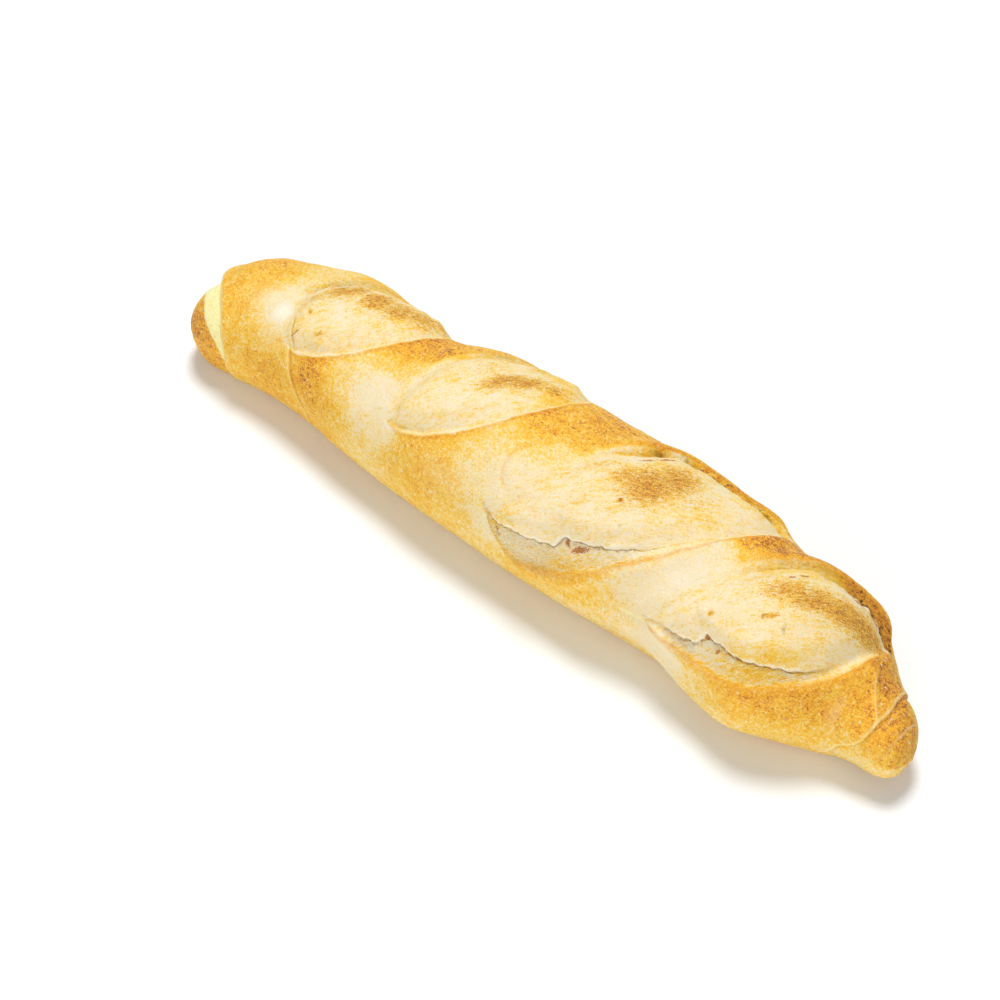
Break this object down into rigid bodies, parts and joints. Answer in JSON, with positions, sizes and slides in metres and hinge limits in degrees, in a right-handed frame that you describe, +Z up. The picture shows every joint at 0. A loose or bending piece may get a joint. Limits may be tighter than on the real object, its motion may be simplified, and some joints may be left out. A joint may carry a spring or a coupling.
{
  "type": "baguette",
  "caption": "Short crusty wheat loaf with slanting slashes opened in baking, flat underside, one blunt and one pointed end.",
  "frame": {"origin": "middle of the loaf's footprint, on the surface it lies on", "axes": "+X along the loaf towards its pointed end, +Z up through the slashed crown, +Y to the side where each slash ends nearer the pointed end"},
  "size_m": [0.297, 0.0666, 0.0541],
  "materials": {
    "crust": "dull, slightly rough baked crust with paler crumb in the slashes"
  },
  "bodies": {
    "root": {"baguette": "crust"}
  },
  "joints": []
}
